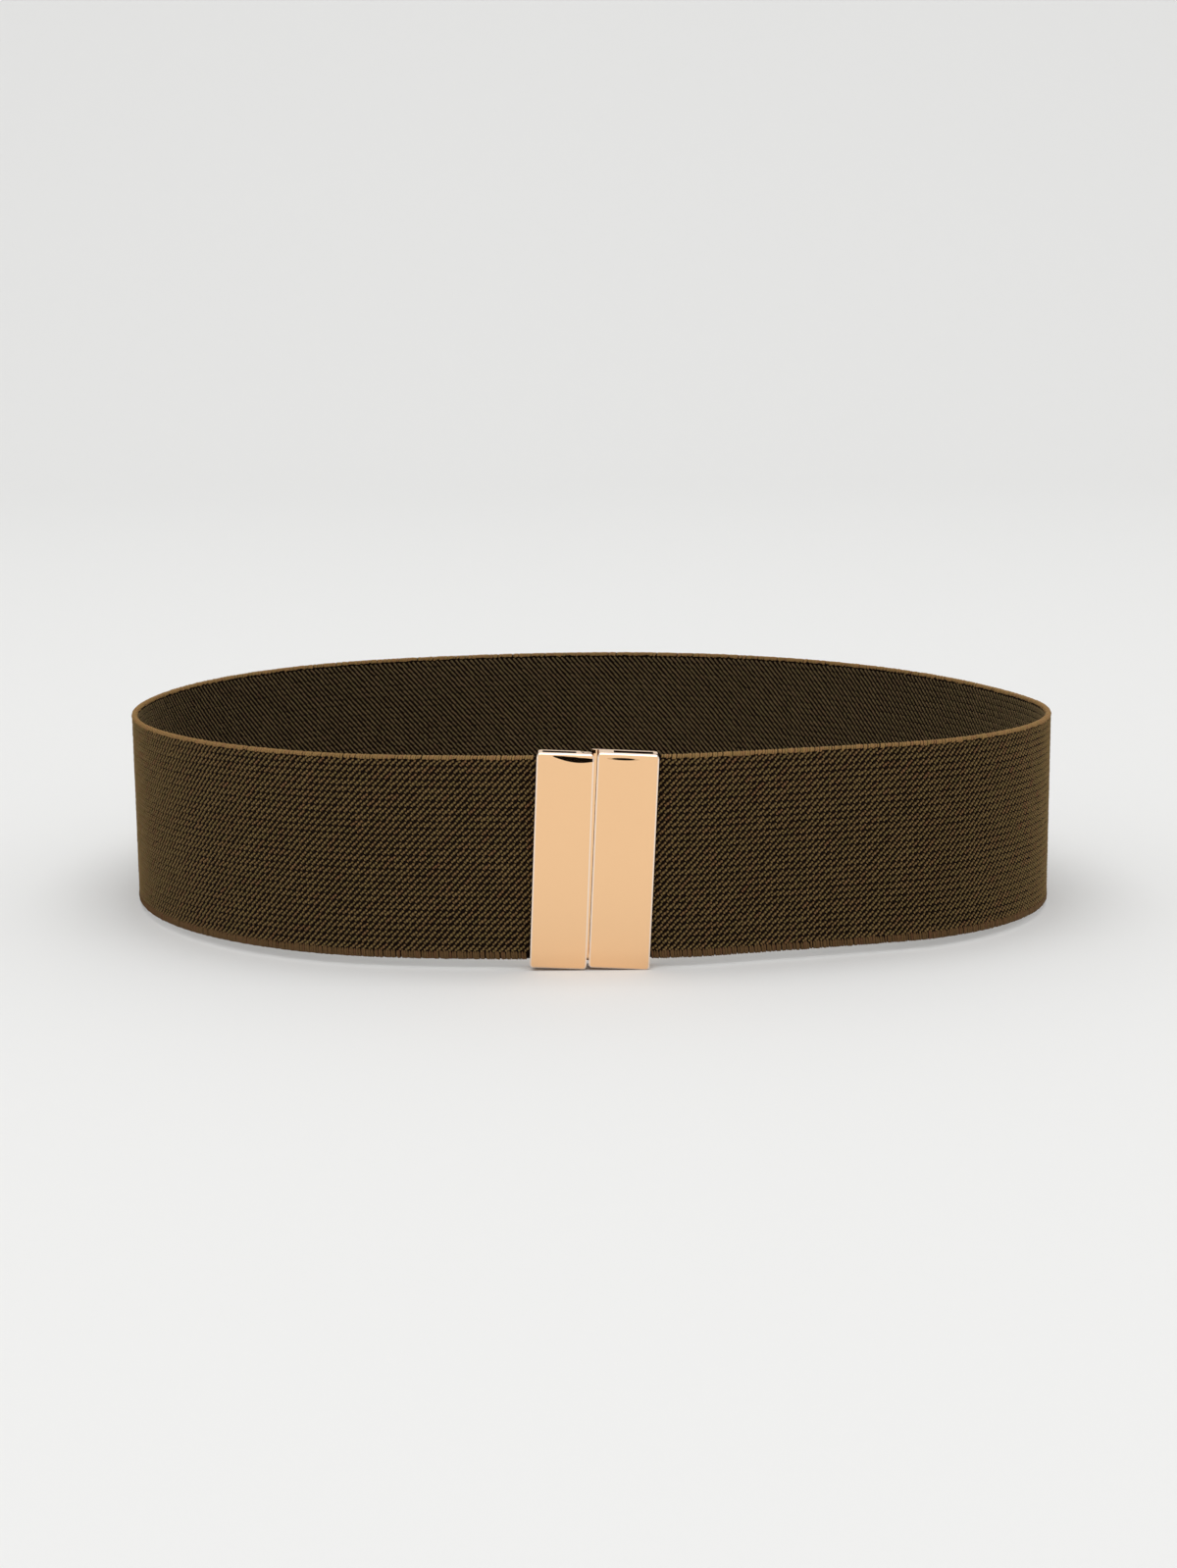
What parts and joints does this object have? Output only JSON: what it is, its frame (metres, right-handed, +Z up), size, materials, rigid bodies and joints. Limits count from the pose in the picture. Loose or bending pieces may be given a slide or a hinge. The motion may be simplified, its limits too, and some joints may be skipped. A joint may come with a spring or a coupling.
{
  "type": "elastic stretch belt",
  "caption": "Wide woven elastic waist belt in dark olive brown, closed in front by a flat rectangular metal buckle in two upright halves that hook together.",
  "frame": {"origin": "on the ground under the middle of the belt's overall width and depth, as it stands fastened on its lower edge", "axes": "+Z up, -Y out of the front of the buckle, +X to the right as seen from the front"},
  "size_m": [0.2424, 0.182, 0.0531],
  "materials": {
    "elastic_webbing": "matt woven elastic webbing, dark olive brown with khaki yarn floats and lighter ribbed edges",
    "plated_metal": "polished pale rose gold plating"
  },
  "bodies": {
    "root": {"elastic_band": "elastic_webbing", "catch_half": "plated_metal", "hook_half": "plated_metal"}
  },
  "joints": []
}
